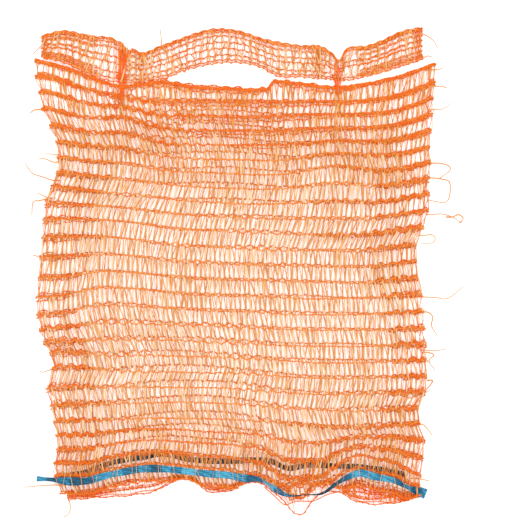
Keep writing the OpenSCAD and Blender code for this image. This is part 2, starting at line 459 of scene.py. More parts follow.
def new_material(name, viewport):
    """A material, its node tree and its shader, with a colour for the plain viewport."""
    material = bpy.data.materials.new(name)
    material.use_nodes = True
    material.diffuse_color = viewport
    tree = material.node_tree
    return material, tree, tree.nodes["Principled BSDF"]


def shaded(tree, noise, amount):
    """The shade attribute, stirred with a little noise: the yarn's own tone, and on the draw tape painted
    light and shade.
    """
    shade = node(tree, "ShaderNodeAttribute", {"attribute_name": "shade"})
    spread = node(tree, "ShaderNodeMath", {"operation": "MULTIPLY_ADD"},
                  {1: amount, 2: -amount / 2}, {0: noise.outputs["Fac"]})
    return node(tree, "ShaderNodeMath", {"operation": "ADD", "use_clamp": True},
                links={0: shade.outputs["Fac"], 1: spread.outputs[0]}).outputs[0]


def finish_plastic(tree, shader, pattern, stops, relief, gloss):
    """Colours a plastic by its shade attribute and a noise, and gives it relief and gloss. On the draw tape
    the shade and the noise are painted highlight and painted shade.

    pattern is (noise, amount), relief (noise, strength, depth in mm), gloss (roughness, IOR, level).
    """
    ramp = node(tree, "ShaderNodeValToRGB", links={"Fac": shaded(tree, *pattern)}, stops=stops)
    noise, strength, depth = relief
    rough = node(tree, "ShaderNodeBump", values={"Strength": strength, "Distance": depth * MM},
                 links={"Height": noise.outputs["Fac"]})
    tree.links.new(ramp.outputs["Color"], shader.inputs["Base Color"])
    tree.links.new(rough.outputs["Normal"], shader.inputs["Normal"])
    for key, value in zip(("Roughness", "IOR", "Specular IOR Level"), gloss):
        shader.inputs[key].default_value = value
    return ramp.outputs["Color"]


def painted_glow(tree, shader, colour, strength):
    """Painted glow: emission in the plastic's own colour lifts its shaded side, standing in for light that
    passes through thin plastic.
    """
    tree.links.new(colour, shader.inputs["Emission Color"])
    shader.inputs["Emission Strength"].default_value = strength


def chain_yarn(colours):
    """Knitted high-density polyethylene monofilament: glossy, saturated, paler on its curves."""
    material, tree, shader = new_material("polyethylene_chain_yarn", colours.chain_middle)
    place = node(tree, "ShaderNodeTexCoord").outputs["Object"]
    # One stitch is 4 mm, so the colour drifts over about one stitch.
    drift = node(tree, "ShaderNodeTexNoise", values={"Scale": 1 / (4 * MM), "Detail": 3.0},
                 links={"Vector": place})
    # Drawn filament has fine lines along it, about 0.15 mm apart. They are made twice as coarse.
    lines = node(tree, "ShaderNodeTexNoise", values={"Scale": 1 / (0.3 * MM), "Detail": 2.0},
                 links={"Vector": place})
    stops = ((0.0, colours.chain_deep), (1.0, colours.chain_pale), (0.45, colours.chain_middle))
    colour = finish_plastic(tree, shader, (drift, 0.7), stops, (lines, 0.35, 0.06), (0.42, 1.53, 0.22))
    # Painted glow: the chain yarn gives off a little light in its own colour.
    painted_glow(tree, shader, colour, 0.1)
    return material


def inlay_yarn(colours):
    """Flat slit-film polyethylene: thinner than the chains, so it looks paler and softer."""
    material, tree, shader = new_material("polyethylene_inlay_yarn", colours.inlay_middle)
    place = node(tree, "ShaderNodeTexCoord").outputs["Object"]
    # A yarn's colour changes over about half of its way between two rows.
    drift = node(tree, "ShaderNodeTexNoise", values={"Scale": 1 / (7 * MM), "Detail": 4.0},
                 links={"Vector": place})
    # The film's creases are about half a millimetre apart.
    creases = node(tree, "ShaderNodeTexNoise", values={"Scale": 1 / (0.5 * MM), "Detail": 2.0},
                   links={"Vector": place})
    stops = ((0.0, colours.inlay_deep), (1.0, colours.inlay_pale), (0.35, colours.inlay_middle))
    colour = finish_plastic(tree, shader, (drift, 0.8), stops, (creases, 0.3, 0.05), (0.5, 1.53, 0.25))
    # Painted glow: the inlay yarn gives off a little light in its own colour.
    painted_glow(tree, shader, colour, 0.08)
    return material


def draw_tape(colours):
    """Fibrillated polypropylene film tape, crumpled: painted highlight on its ridges, painted shade deep
    blue in its folds.
    """
    material, tree, shader = new_material("polypropylene_draw_tape", colours.tape_middle)
    place = node(tree, "ShaderNodeTexCoord").outputs["Object"]
    # The film's creases are 1 to 2 mm across.
    crumple = node(tree, "ShaderNodeTexNoise", values={"Scale": 1 / (1.6 * MM), "Detail": 5.0,
                   "Roughness": 0.65, "Distortion": 0.6}, links={"Vector": place})
    stops = ((0.0, colours.tape_painted_shade), (1.0, colours.tape_painted_highlight), (0.45, colours.tape_middle))
    # The crumple noise raises both the bump and the colour: painted highlight where the film rises, painted
    # shade where it sinks.
    finish_plastic(tree, shader, (crumple, 1.1), stops, (crumple, 0.7, 0.25), (0.3, 1.49, 0.3))
    return material


def table_top(colours):
    """Matt white melamine laminate: even, bright and almost free of shadow."""
    material, tree, shader = new_material("melamine_table_laminate", colours.table)
    place = node(tree, "ShaderNodeTexCoord").outputs["Object"]
    grain = node(tree, "ShaderNodeTexNoise", values={"Scale": 1 / (2 * MM)}, links={"Vector": place})
    bump_node = node(tree, "ShaderNodeBump", values={"Strength": 0.05, "Distance": 0.05 * MM},
                     links={"Height": grain.outputs["Fac"]})
    tree.links.new(bump_node.outputs["Normal"], shader.inputs["Normal"])
    shader.inputs["Base Color"].default_value = colours.table
    shader.inputs["Roughness"].default_value = 0.6
    shader.inputs["Emission Color"].default_value = linear("#FFFFFF")
    shader.inputs["Emission Strength"].default_value = 0.42
    return material


FINISHES = {"chain_yarn": chain_yarn, "inlay_yarn": inlay_yarn, "draw_tape": draw_tape}
made_finishes = {}


def finished(yarns, name, slot, nodes=()):
    """Turns gathered yarns into a named piece with its finish."""
    if slot not in made_finishes:
        made_finishes[slot] = FINISHES[slot](bpy.context.scene.bag_colours)
    piece = yarns.piece(name, made_finishes[slot])
    if nodes:
        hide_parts(*nodes)
    return piece


def hang_on_front(piece):
    """Bakes the piece's transform into its mesh."""
    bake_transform(piece)


def hang_on_back(piece):
    """Bakes the piece's transform into its mesh."""
    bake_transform(piece)


def hang_on_tacks(piece):
    """Bakes the piece's transform into its mesh."""
    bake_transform(piece)


def place_back(piece, part):
    if part == "closed":
        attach(piece, "bag")
    else:
        hang_on_back(piece)


# ---- Knitting ----

def fine_row(k, back=False, start=-HALF_WIDTH, end=HALF_WIDTH):
    return lay_row(k, np.linspace(start, end, int((end - start) / 1.5) + 2), back)


def stitch_points(k, sizes, back=False):
    count = int(2 * 2 * HALF_WIDTH / sizes.stitch)
    return lay_row(k, np.linspace(-HALF_WIDTH + 1, HALF_WIDTH - 1, count), back)


def runs_kept(yarns, path):
    """The runs of an inlay yarn that stay sewn in: near the sides some have pulled out."""
    x, y = path[::LEG, 0], path[::LEG, 1]
    bare = ease((np.abs(x) - 128) / 22) * 0.6
    slack_mouth = bump(x, 58, 24) * (y < -176)
    bare = np.maximum(bare, 0.85 * slack_mouth)
    gone = yarns.random.random(len(bare)) < bare
    keys = np.repeat(np.where(gone, 0, np.cumsum(gone) + 1), LEG)[:len(path)]
    return [run for run in split(path, keys) if run[0] and run[2] - run[1] > 3]


def fullness(points):
    """How closely gathered the net is, from 0 in its middle to 1 at its ends and right side."""
    x, y = points[:, 0], points[:, 1]
    closed_end = ease((y - 72) / 50)
    mouth = ease((-148 - y) / 14)
    right = 0.5 * ease((x - 60) / 60) * (0.6 + 0.4 * np.sin(y / 23))
    return np.clip(np.maximum(closed_end, mouth) + right, 0, 1)


def make_front(sizes):
    rows = Yarns(11)
    webs = Yarns(12)
    for k in range(LAST_ROW + 1):
        heavy = 1.0 + 0.3 * max(0, 1 - k / 10) + 0.15 * (k > 22)
        rows.chain(fine_row(k), sizes.stitch, sizes.loop, sizes.chain * heavy, 0.6 if 4 < k < 23 else 0.4)
    for k in range(LAST_ROW):
        upper = stitch_points(k, sizes)
        lower = stitch_points(k + 1, sizes)
        path, widths, shades, twist = webs.inlay(upper, lower, sizes.inlay, 0.36, 0.6)
        full = fullness(path)
        widths, shades = widths * (1 - 0.2 * full), shades - 0.3 * full
        for _, first, last in runs_kept(webs, path):
            at = slice(first, last)
            webs.add(path[at], widths[at], FLAT_YARN, shades[at], twist[at])
    made = (
        finished(rows, "front_net_rows", "chain_yarn", ("front_rows", "closed_end_rows")),
        finished(webs, "front_net_inlays", "inlay_yarn", ("front_web", "closed_end_front_web")),
    )
    for piece in made:
        hang_on_front(piece)


def make_back(sizes):
    parts = ("closed", "left", "right")
    rows = {part: Yarns(21 + i) for i, part in enumerate(parts)}
    webs = {part: Yarns(31 + i) for i, part in enumerate(parts)}
    for k in range(LAST_ROW + 1):
        line = fine_row(k, back=True)
        for part, first, last in split(line, region(line)):
            if last - first > 4:
                rows[part].chain(line[first:last], sizes.stitch, sizes.loop, sizes.chain, 0.6)
    for k in range(LAST_ROW):
        upper = stitch_points(k, sizes, back=True)
        lower = stitch_points(k + 1, sizes, back=True)
        path, widths, shades, twist = webs["left"].inlay(upper, lower, sizes.inlay, 0.35, 0.6)
        full = fullness(path)
        widths, shades = widths * (1 - 0.2 * full), shades - 0.25 * full
        middle = np.repeat((path[::LEG] + path[LEG - 1::LEG]) / 2, LEG, axis=0)
        for part, first, last in split(path, region(middle)):
            at = slice(first, last)
            webs[part].add(path[at], widths[at], FLAT_YARN, shades[at], twist[at])
    made = []
    for part in parts:
        row_nodes = ("back_rows", "closed_end_rows") if part == "closed" else ("back_rows",)
        web_nodes = ("closed_end_back_web",) if part == "closed" else ("back_web",)
        made.append(finished(rows[part], "back_net_rows_" + part, "chain_yarn", row_nodes))
        made.append(finished(webs[part], "back_net_inlays_" + part, "inlay_yarn", web_nodes))
        place_back(made[-2], part)
        place_back(made[-1], part)


# ---- Closed end, sides and mouth ----

def along(points, start, end, step, dy=0.0, z=1.0):
    """Points in millimetres along a named outline from x = start to x = end."""
    x = np.linspace(start, end, max(3, int(abs(end - start) / step) + 1))
    return np.stack((x, through(points, x) + dy, np.full(len(x), z)), 1)


def zigzag(yarns, upper, lower, width, shade, slack=0.5):
    """Sews two lines of the same stretch together with one dense yarn."""
    path, widths, shades, twist = yarns.inlay(upper, lower, width, shade, slack)
    yarns.add(path, widths, width * 0.4, shades, twist)


# Rows that lie double where the net is gathered: row, its ends along the row, and how far apart.
DOUBLED = (
    (0, -158, -100, 2.6), (0, -88, 30, 5.2), (0, 30, 104, 5.0), (0, 88, 158, 2.4),
    (1, -158, -60, 2.4), (1, -72, 90, 5.0), (1, 84, 158, 2.8),
    (2, -120, -60, 2.2), (2, -66, 86, 4.8), (2, 82, 154, 2.6),
    (3, -110, -40, 2.0), (3, -50, 86, 4.2), (3, 82, 154, 2.4),
    (4, -120, -50, 1.8), (4, -10, 60, 3.6), (4, 54, 150, 2.4),
    (5, -140, -80, 1.8), (5, 50, 150, 2.2), (6, 80, 150, 2.0), (8, 60, 150, 1.8), (10, 70, 150, 1.8),
    (22, 40, 150, 2.0), (23, 60, 150, 2.4), (24, 20, 150, 2.6), (25, 8, 96, 3.2), (26, 20, 92, 3.0),
    (23, -150, -60, 1.8), (25, -140, -40, 2.2),
)


# Rows below which the gathered net shows strands as strong as its rows.
GATHERED = (0, 1, 2, 3, 4, 5, 6, 23, 24, 25)


def make_closed_seam(sizes):
    seam = Yarns(41)
    for dy, z in ((0.6, 2.0), (-0.7, 2.5)):
        line = along(CLOSED_EDGE, -163, 162, 1.5, dy, z)
        line[:, 1] += 0.4 * np.sin(line[:, 0] / 3.3 + z)
        seam.chain(line, sizes.stitch * 0.9, sizes.loop, sizes.chain, 0.3)
    upper = along(CLOSED_EDGE, -162, 161, 1.5, 1.0, 2.3)
    lower = along(CLOSED_EDGE, -162, 161, 1.5, -1.0, 2.3)
    zigzag(seam, upper, lower, 0.7, 0.3, 0.6)
    nodes = ("closed_end_seam", "left_corner_seam", "right_corner_seam")
    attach(finished(seam, "closed_end_seam_stitches", "chain_yarn", nodes), "bag")
    doubled = Yarns(42)
    for k, start, end, gap in DOUBLED:
        s = np.arange(start, end, 1.5)
        fade = np.sin(np.pi * np.clip((s - start) / (end - start), 0.02, 0.98)) ** 0.4
        lines = []
        for side in (-1, 1):
            line = lay_row(k, s)
            line[:, 1] += side * gap * 0.5 * fade + 0.35 * np.sin(s / 3.1 + side + k) - 0.8
            line[:, 2] *= 0.8
            doubled.chain(line, sizes.stitch, sizes.loop, sizes.chain, 0.35)
            lines.append(line)
        every = 1 if gap < 3.5 else 3
        zigzag(doubled, lines[0][::every], lines[1][::every], 0.6, 0.5, 0.8)
    for k in GATHERED:
        s = np.arange(-156, 156, 2.6)
        path, widths, shades, twist = doubled.inlay(lay_row(k, s), lay_row(k + 1, s), 0.36, 0.75, 1.5)
        path[:, 2] *= 0.9
        shown = (np.abs(path[:, 0] - TACKS[0]) > 14) & (ripple(path[:, 0], path[:, 1], 2) > -0.35)
        keys = np.repeat(np.cumsum(~shown[::LEG]) * shown[::LEG], LEG)
        for key, first, last in split(path, keys):
            if key and last - first > 3:
                at = slice(first, last)
                doubled.add(path[at], widths[at], FLAT_YARN, shades[at], twist[at])
    hang_on_front(finished(doubled, "closed_end_doubled_rows", "chain_yarn", ("closed_end_rows",)))


def side_reach(side, y):
    """How far in from a side the turned-in allowance reaches."""
    if side == "left":
        return 40 + 8 * np.sin(y / 31) + 5 * np.sin(y / 11)
    return 36 + 22 * bump(y, 105, 55) + 6 * np.sin(y / 23 + 1) - 8 * bump(y, -110, 40)


def make_sides(sizes):
    for index, (side, sign) in enumerate((("left", -1), ("right", 1))):
        rows = Yarns(51 + index)
        webs = Yarns(61 + index)
        edge = []
        for k in range(1, LAST_ROW):
            y = float(row_line(k, np.array((sign * 140.0,)))[0])
            reach = float(side_reach(side, y))
            ends = sorted((sign * HALF_WIDTH, sign * (HALF_WIDTH - reach)))
            gap = 1.9 + 0.6 * math.sin(k * 1.9 + index)
            if side == "left" and 8 < k < 22:
                gap += 0.5
            lines = []
            for turn, spread in enumerate((-1, 1, 0.3)):
                ended = (ends[0] + 1.5 * turn, ends[1] - 1.5 * turn)
                s = np.linspace(*ended, 60)
                share = np.abs(s) / HALF_WIDTH
                line = lay_row(k, s, back=turn == 1)
                front = lay_row(k, s)
                line[:, 1] = front[:, 1] + spread * gap * (0.45 + 0.55 * ease((share - 0.72) / 0.2))
                line[:, 1] += 0.35 * np.sin(s / 2.9 + 2 * turn + k)
                line[:, 2] = front[:, 2] * (0.45 + 0.25 * turn) + 0.4
                rows.chain(line, sizes.stitch, sizes.loop, sizes.chain * 0.82, 0.3)
                lines.append(line)
            ladder = 3.2 if side == "left" and 8 < k < 22 else 1.5
            count = int(reach / ladder)
            pick = np.linspace(2, 57, count).astype(int)
            zigzag(webs, lines[1][pick], lines[0][pick], 0.8, 0.1, 1.0)
            if ladder < 2:
                zigzag(rows, lines[1][pick], lines[2][pick], 0.5, 0.5, 1.2)
            pick = np.linspace(0, 59, count).astype(int)
            zigzag(rows, lines[2][pick], lines[0][pick], 0.45, 0.5, 1.0)
            tip = 0 if side == "left" else -1
            edge.append(lines[0][tip])
            edge.append(lines[1][tip])
        edge = np.array(edge)
        edge = edge[np.argsort(edge[:, 1])]
        for inward, width in ((0.6, 0.45), (3.4, 0.4)):
            seam = edge.copy()
            seam[:, 0] -= sign * inward
            fine = np.linspace(0, len(seam) - 1, len(seam) * 4)
            line = np.stack([np.interp(fine, np.arange(len(seam)), seam[:, a]) for a in range(3)], 1)
            line[:, 0] += 0.9 * np.sin(fine * 2.1 + inward)
            rows.add(line, width, width * 0.8, 0.3)
        hang_on_front(finished(rows, side + "_side_seam_rows", "chain_yarn", (side + "_side_seam",)))
        hang_on_front(finished(webs, side + "_seam_allowance", "inlay_yarn", (side + "_side_seam",)))


# Yarns that have come out of the side seams, as (x, y, height) points in millimetres.
LEFT_ENDS = (
    ((-149, 67, 1.5), (-158, 70, 1.2), (-166, 73, 0.7), (-172, 81, 0.4)),
    ((-149, 82, 1.5), (-155, 84.5, 1.0), (-161.5, 85.5, 0.5)),
    ((-148, 88, 1.5), (-152, 88.8, 1.0), (-157, 88.5, 0.5)),
    ((-152, 52.5, 1.5), (-157, 54.5, 1.0), (-162, 57, 0.5)),
    ((-153, 52, 1.5), (-160, 50.5, 1.0), (-165.5, 49, 0.6), (-166.5, 38.5, 0.4)),
    ((-156, 179, 1.5), (-161, 175, 0.9), (-166, 170, 0.4)),
    ((-161, 125, 1.5), (-165, 124.5, 0.9), (-168, 122, 0.4)),
    ((-137, -190, 1.2), (-135, -199, 0.9), (-136, -206, 0.6), (-141, -209, 0.4)),
    ((-143, -182.5, 1.2), (-158, -183, 0.8), (-172, -184.5, 0.4)),
    ((-154, 8, 1.2), (-161, 5, 0.7), (-166, 6, 0.4)),
    ((-151, -88, 1.2), (-157, -90, 0.8), (-161, -89, 0.4)),
)
RIGHT_ENDS = (
    ((163, 157.5, 1.5), (167, 158, 1.0), (170.5, 159.5, 0.5)),
    ((163, 144, 1.5), (169, 144, 1.0), (174, 142.8, 0.5)),
    ((162, 125, 1.5), (168, 125, 1.0), (173, 127, 0.7), (178, 131, 0.4)),
    ((160, 81, 1.5), (168, 81, 1.0), (175, 79, 0.8), (176, 75, 0.6), (168, 69, 0.4)),
    ((161, 69, 1.5), (170, 68, 1.0), (176, 65, 0.8), (175.5, 53, 0.6), (171, 49, 0.5), (158, 51, 1.0)),
    ((161, 39, 1.5), (170, 39.5, 1.0), (178, 37, 0.8), (186, 32, 0.4)),
    ((178, 37, 0.8), (183, 39, 0.7), (187, 36, 0.6), (184, 32, 0.4)),
    ((155, 22, 1.2), (161, 22.5, 0.8), (164, 20, 0.6), (162, 16, 0.5), (152, 15.5, 1.0)),
    ((155, -28.5, 1.2), (165, -29, 0.8), (173, -30, 0.6), (180, -26, 0.5), (187, -20, 0.4)),
    ((158, -41, 1.2), (162, -45, 0.8), (161, -52, 0.7), (165.5, -60, 0.4)),
    ((156, -72, 1.2), (165, -72.5, 0.8), (173, -71, 0.4)),
    ((158, -74, 1.2), (163, -76, 0.8), (159, -81, 0.7), (164, -88.5, 0.4)),
    ((162, -97, 1.0), (158, -103, 0.8), (151, -109, 1.2)),
    ((145, -111, 1.2), (153, -108, 0.8), (160, -105, 0.4)),
    ((154, -133, 1.2), (158, -137, 0.8), (161.5, -142, 0.4)),
    ((148, -177, 1.2), (154, -178, 0.8), (160, -179.5, 0.4)),
)
STRIP_ENDS = (
    ((151, 188, 1.4), (158, 185, 1.0), (163, 181, 0.7), (166, 175.5, 0.4)),
    ((-60, 178, 1.8), (-60.5, 184, 1.2), (-61.5, 192, 0.6)),
    ((154, 167, 1.2), (158, 169, 0.8), (162, 168, 0.4)),
)


def make_loose_ends(sizes):
    for side, ends in (("left", LEFT_ENDS), ("right", RIGHT_ENDS)):
        loose = Yarns(71)
        inward = 5 if side == "left" else -5
        for i, points in enumerate(ends):
            x, y, z = points[0]
            points = ((x + inward, y, z + 0.4), *points)
            loose.thread(points, 0.95 * sizes.chain + 0.15 * math.sin(i * 2.3), 0.1 + 0.15 * math.sin(i))
        hang_on_front(finished(loose, side + "_loose_yarn_ends", "inlay_yarn", (side + "_loose_ends",)))


def make_mouth(sizes):
    hem = Yarns(81)
    inner = ((24, -184), (32, -191), (41, -198.5), (48, -196), (65, -195), (76, -190), (86, -187.5))
    edge = along(MOUTH_EDGE, -136, 150, 1.5, 0.2, 2.2)
    edge[:, 1] += 0.4 * np.sin(edge[:, 0] / 2.7)
    hem.chain(edge, sizes.stitch * 1.3, sizes.loop, sizes.chain * 0.9, 0.3)
    for start, end in ((-136, 22), (88, 150)):
        line = along(MOUTH_EDGE, start, end, 1.5, 1.7, 1.6)
        line[:, 1] += 0.6 * np.sin(line[:, 0] / 4.3)
        hem.add(line, 0.6, 0.5, 0.35 + 0.1 * np.sin(line[:, 0]))
    hem.add(along(inner, 24, 86, 1.5, 0, 2.4), 0.75, 0.55, 0.35)
    for x in np.arange(-132, 148, 3.1):
        x = x + hem.random.normal(0, 0.9)
        top = float(row_line(LAST_ROW, np.array((x,)))[0])
        low = float(through(MOUTH_EDGE, x))
        lean = hem.random.normal(1.2, 1.0)
        hem.thread(((x - lean, top + 0.5, 2.4), (x, (top + low) / 2, 2.0), (x + lean, low, 2.2)),
                   hem.random.uniform(0.3, 0.6), 0.5, 3)
    for x in np.arange(33, 90, 4.3):
        x = x + hem.random.normal(0, 0.8)
        lean = hem.random.normal(0.6, 1.0)
        top = float(row_line(TAPE_ROW + 1, np.array((x,)))[0])
        tape = float(through(FRONT_TAPE, x))
        points = ((x - lean, top, 8.2), (x, (top + tape) / 2, 8.4), (x + lean, tape + 1, 8.6))
        hem.thread(points, 0.55, 0.6, 3)
    hang_on_front(finished(hem, "front_mouth_selvage_stitches", "chain_yarn", ("front_mouth_selvage",)))
    # The hem's fabric is folded up against the tape at both corners and along the last row.
    folds = Yarns(82)
    for start, end, layers in ((88, 150, 4), (-136, -106, 4), (-106, -30, 1), (-22, 24, 2)):
        for layer in range(layers):
            x = np.arange(start, end, 2.1)
            last = row_line(LAST_ROW, x)
            height = np.full(len(x), 2.2)
            spread = 1.0 if end < 150 else 1.9
            high = np.stack((x, last + spread * (2.6 - layer), height), 1)
            low = np.stack((x, last - spread * (1.0 + 1.5 * layer), height), 1)
            low[:, 1] = np.maximum(low[:, 1], through(MOUTH_EDGE, x) + 0.4)
            zigzag(folds, high, low, sizes.inlay * 0.8, 0.25, 1.3)
            middle = (high + low) / 2
            middle[:, 1] += 1.2 * np.sin(middle[:, 0] / 5.1 + layer)
            folds.chain(middle, sizes.stitch, sizes.loop, sizes.chain, 0.2)
    hang_on_front(finished(folds, "front_mouth_folds", "chain_yarn", ("front_mouth_selvage",)))
    for part, ends in (("left", (-137, 0)), ("right", (0, 148))):
        back = Yarns(83)
        line = along(MOUTH_EDGE, *ends, 1.5, 3.5, 1.1)
        line[:, 1] += 1.6 * np.sin(line[:, 0] / 17) + 10 * bump(line[:, 0], 57, 22)
        back.chain(line, sizes.stitch * 0.9, sizes.loop, sizes.chain, 0.35)
        edge = line.copy()
        edge[:, 1] += 2.0
        zigzag(back, edge, line, 0.65, 0.35, 0.9)
        name = "back_mouth_selvage_stitches_" + part
        hang_on_back(finished(back, name, "chain_yarn", ("back_mouth_selvage",)))


# ---- Draw tapes ----

# Width of the front tape along the bag, as shares of its full width, and the painted shade and light along
# it, darkest where it is folded narrow.
TAPE_WIDTHS = (
    (-162, 0.8), (-152, 0.55), (-145, 0.95), (-120, 1.0), (-60, 1.0), (0, 1.0), (14, 1.1), (20, 0.7),
    (27, 0.45), (33, 0.85), (41, 0.5), (47, 0.25), (68, 0.27), (78, 0.5), (88, 0.62), (95, 0.85),
    (120, 1.0), (134, 0.75), (141, 0.6), (148, 1.15), (156, 1.35),
)
TAPE_PAINTED_SHADING = (
    (-162, 0.1), (-150, -0.1), (-80, 0.05), (-64, -0.15), (-50, 0.15), (0, 0.05), (10, -0.1),
    (30, 0.15), (42, -0.1), (50, -0.5), (80, -0.55), (92, -0.3), (96, 0.0), (130, 0.0), (145, -0.15),
    (156, -0.05),
)


class Ribbon:
    """A crumpled film tape: lengthwise folds that wander across it."""

    FOLDS = 11

    def __init__(self, points, start, end, width, z, seed, tone=0.0):
        x = np.linspace(start, end, int(abs(end - start) / 1.1) + 2)
        centre = np.stack((x, through(points, x), z if np.ndim(z) else np.full(len(x), z)), 1)
        along_line = np.gradient(centre, axis=0)
        along_line /= np.linalg.norm(along_line, axis=1, keepdims=True)
        side = np.stack((-along_line[:, 1], along_line[:, 0], np.zeros(len(x))), 1)
        random = np.random.default_rng(seed)
        place = np.concatenate(((0,), np.cumsum(np.linalg.norm(np.diff(centre, axis=0), axis=1))))
        across_it = np.linspace(-0.5, 0.5, self.FOLDS)[None]
        wide = (width * (1 + 0.07 * np.sin(place / 9.3 + seed) + 0.06 * np.sin(place / 3.7)))[:, None]
        fold = 0.34 * np.sin(across_it * 21 + 1.4 * np.sin(place / 11)[:, None])
        crease = 0.22 * np.sin(place[:, None] / 1.9 + across_it * 9 + 2 * np.sin(place / 13)[:, None])
        crush = random.normal(0, 0.1, (len(x), self.FOLDS))
        height = fold + crease + crush
        top = centre[:, None] + side[:, None] * (across_it * wide)[..., None]
        top[:, :, 2] += height
        self.top = top
        # Lighter and darker blocks along the tape: painted light and shade on its twists.
        painted_twist_light = 0.16 * np.sign(np.sin(place / 4.1 + 2.3 * np.sin(place / 17)))[:, None]
        tone = np.broadcast_to(tone, (len(x),))[:, None]
        # Painted highlight on the ridges and painted shade in the folds: the colour follows the film's
        # height, plus the darkening given along the tape.
        self.shade = np.clip(0.42 + 0.55 * (fold + crush) + 0.5 * crease + painted_twist_light + tone, 0, 1)

    def add_to(self, yarns, thickness=0.16):
        n, m = self.top.shape[:2]
        under = self.top.copy()
        under[:, :, 2] -= thickness
        points = np.concatenate((self.top.reshape(-1, 3), under.reshape(-1, 3)))
        grid = np.arange(n * m).reshape(n, m)
        faces = []
        for shift, turned in ((0, True), (n * m, False)):
            quad = np.stack((grid[:-1, :-1], grid[1:, :-1], grid[1:, 1:], grid[:-1, 1:]), 2).reshape(-1, 4)
            quad = quad + shift
            faces.append(quad[:, ::-1] if turned == (self.top[-1, 0, 0] < self.top[0, 0, 0]) else quad)
        rim = np.concatenate((grid[:, 0], grid[-1, 1:], grid[-2::-1, -1], grid[0, -2:0:-1]))
        following = np.roll(rim, -1)
        wall = np.stack((rim, rim + n * m, following + n * m, following), 1)
        faces.append(wall)
        yarns.points.append(points)
        yarns.quads.append(np.concatenate(faces) + yarns.count)
        yarns.shades.append(np.tile(self.shade.ravel(), 2))
        yarns.count += len(points)


def make_tapes(sizes):
    front = Yarns(91)
    x = np.linspace(-162, 156, int(318 / 1.1) + 2)
    height = np.interp(np.abs(x), SIDE_TAPE, TAPE_HEIGHTS)
    wide = sizes.tape * through(TAPE_WIDTHS, x)
    # The front tape's painted shading darkens its folded stretch.
    Ribbon(FRONT_TAPE, -162, 156, wide, height, 4, through(TAPE_PAINTED_SHADING, x)).add_to(front)
    film = finished(front, "front_draw_tape_film", "draw_tape", ("front_draw_tape",))
    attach(film, "drawtape")
    for part, ends in (("left", (-140, 0.4)), ("right", (-0.4, 140))):
        back = Yarns(92)
        Ribbon(BACK_TAPE, *ends, sizes.tape * 0.8, 1.5, 7, -0.3).add_to(back)
        film = finished(back, "back_draw_tape_film_" + part, "draw_tape", ("back_draw_tape",))
        hang_on_back(film)


def make_tape_loops(sizes):
    front = Yarns(93)
    random = front.random
    for x in np.arange(-148, 148, 7.6):
        x = x + random.normal(0, 2.6)
        y = float(through(FRONT_TAPE, x))
        lean = random.normal(0, 1.6)
        z = float(np.interp(abs(x), SIDE_TAPE, LOOP_HEIGHTS))
        top = (x - lean, y + 6.0, z - 1.8)
        low = (x + lean, y - 6.0, z - 1.8)
        over = ((x - lean * 0.4, y + 3.2, z), (x + lean * 0.4, y - 3.2, z))
        front.thread((top, *over, low), random.uniform(0.25, 0.45), random.uniform(0.2, 0.7), 3)
    hang_on_front(finished(front, "front_tape_loop_yarns", "inlay_yarn", ("front_tape_loops",)))
    for part, ends in (("left", (-148, 0)), ("right", (2, 146))):
        back = Yarns(94)
        for x in np.arange(*ends, 3.9):
            y = float(through(BACK_TAPE, x))
            lean = back.random.normal(0, 1.0)
            over = ((x, y + 2.5, 2.1), (x, y - 2.5, 2.1))
            back.thread(((x - lean, y + 6, 1.2), *over, (x + lean, y - 6, 1.2)), 0.45, 0.5, 3)
        name = "back_tape_loop_yarns_" + part
        hang_on_back(finished(back, name, "inlay_yarn", ("back_tape_loops",)))


# ---- Handle ----

STRIP_START = -174
STRIP_END = 169
STRIP_GATHER = 8


def lay_strip(share, s, ply):
    """Points of a handle row, share of the way from its free edge to its fold."""
    x = s.copy()
    for tack, sign in zip(TACKS, (-1, 1)):
        x = x - STRIP_GATHER * np.tanh((s - tack + sign * STRIP_GATHER) / 9)
    low = through(STRIP_FREE_EDGE, x)
    high = through(STRIP_FOLD, x)
    y = low + (high - low) * share + 0.45 * np.sin(2 * np.pi * s / 7.6 + 3 * share + ply)
    y = y + 0.8 * ripple(x, share * 90, 8 + ply) * np.sin(np.pi * np.clip(share, 0, 1))
    near = sum(bump(x, tack, 9) for tack in TACKS)
    z = 1.3 + 1.2 * ply + near * (0.9 + 0.9 * np.sin(s / 1.7 + ply))
    return np.stack((x, y, z), 1)


FRONT_SHARES = (0.0, 0.43, 1.0)
BACK_SHARES = (0.08, 0.22, 0.6, 0.8, 0.97)
# These rows are knitted only as far as the right tack.
SHORT_SHARES = (0.22, 0.8)


